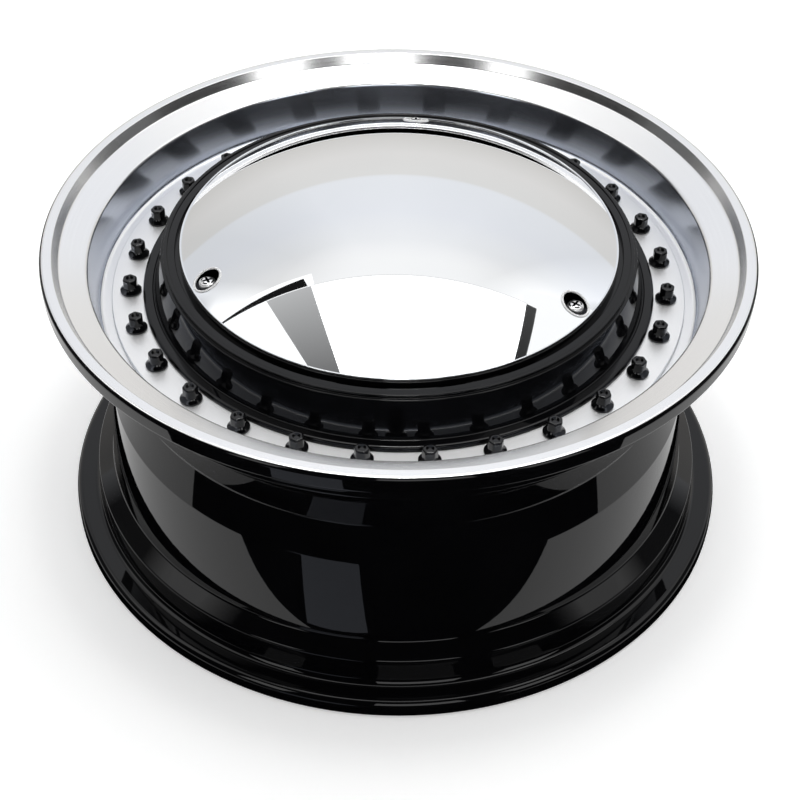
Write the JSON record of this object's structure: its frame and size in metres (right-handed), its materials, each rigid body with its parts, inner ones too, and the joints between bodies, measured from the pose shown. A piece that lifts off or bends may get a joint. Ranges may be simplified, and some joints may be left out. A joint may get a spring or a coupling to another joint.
{
  "type": "car wheel rim",
  "caption": "Deep-dish car wheel rim with a stepped bright lip, a black barrel, a bolted black centre and a chromed dome cover; takes a tyre outside and a car's hub behind.",
  "frame": {"origin": "middle of the face that meets the car's hub, on the axle line", "axes": "+Z along the axle towards the street side, -Y towards the valve hole; the wheel lies on its rear flange as in the picture"},
  "size_m": [0.4712, 0.4712, 0.2486],
  "materials": {
    "bright_rim": "polished",
    "black_centre": "gloss",
    "black_bolts": "gloss",
    "chrome_cover": "polished",
    "bright_screws": "polished"
  },
  "bodies": {
    "root": {"rim": "bright_rim", "centre": "black_centre", "rim_bolts": "black_bolts", "cover": "chrome_cover", "cover_screws": "bright_screws"}
  },
  "joints": []
}
